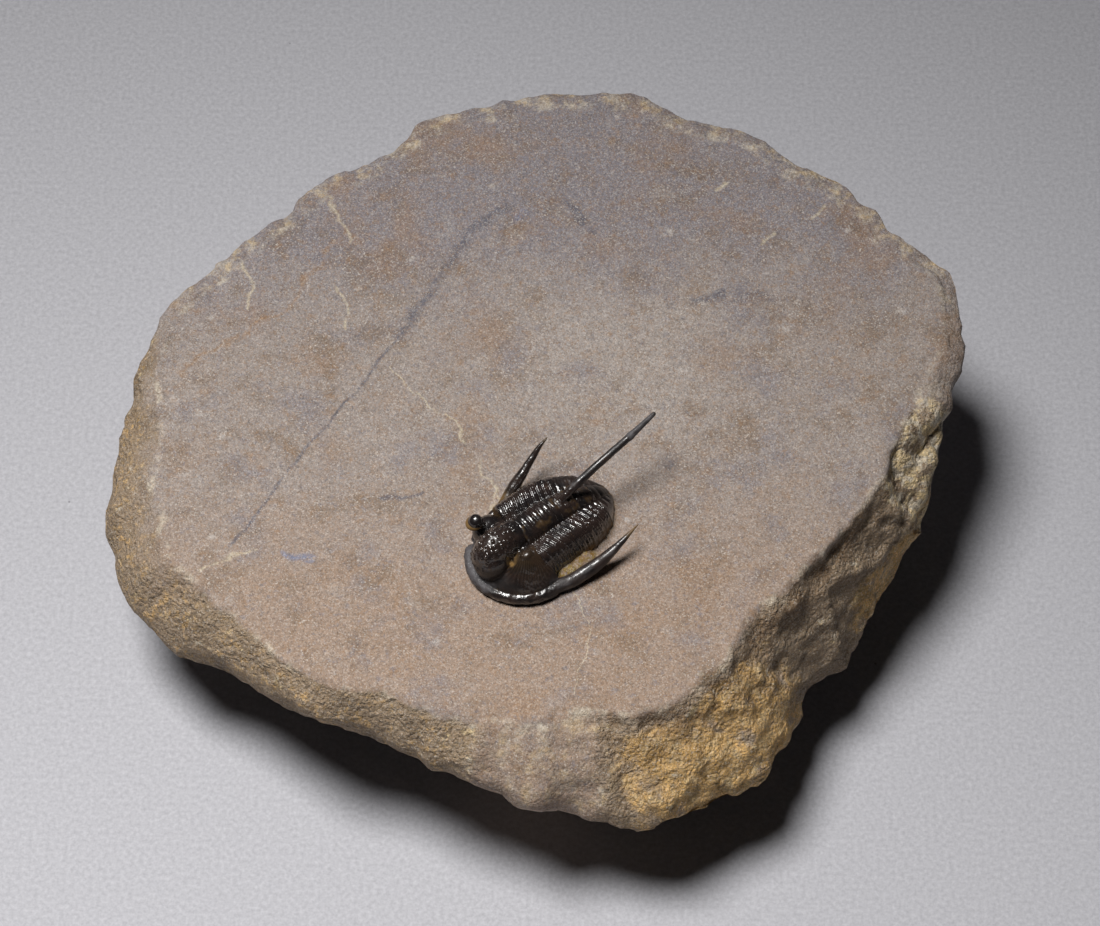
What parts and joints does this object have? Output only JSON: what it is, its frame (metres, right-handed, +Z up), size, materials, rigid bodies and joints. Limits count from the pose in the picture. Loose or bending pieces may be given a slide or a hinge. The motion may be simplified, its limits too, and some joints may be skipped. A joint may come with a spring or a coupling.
{
  "type": "trilobite fossil on matrix stone",
  "caption": "Spiny trilobite with swollen head, ribbed trunk and long back spine, standing free on a rough flat-topped slab of brown-grey limestone.",
  "frame": {"origin": "on the table, under the middle of the stone's bounding box", "axes": "+Z up through the prepared face, -Y towards the viewer of the picture, +X to their right"},
  "size_m": [0.0962, 0.0878, 0.0314],
  "materials": {
    "limestone": "fine sandy brown-grey fracture, ochre on the broken sides",
    "fossil_shell": "black-brown calcite with a lacquer-like gloss"
  },
  "bodies": {
    "root": {"matrix_stone": "limestone", "cephalon": "fossil_shell", "thorax": "fossil_shell", "pygidium": "fossil_shell"}
  },
  "joints": []
}
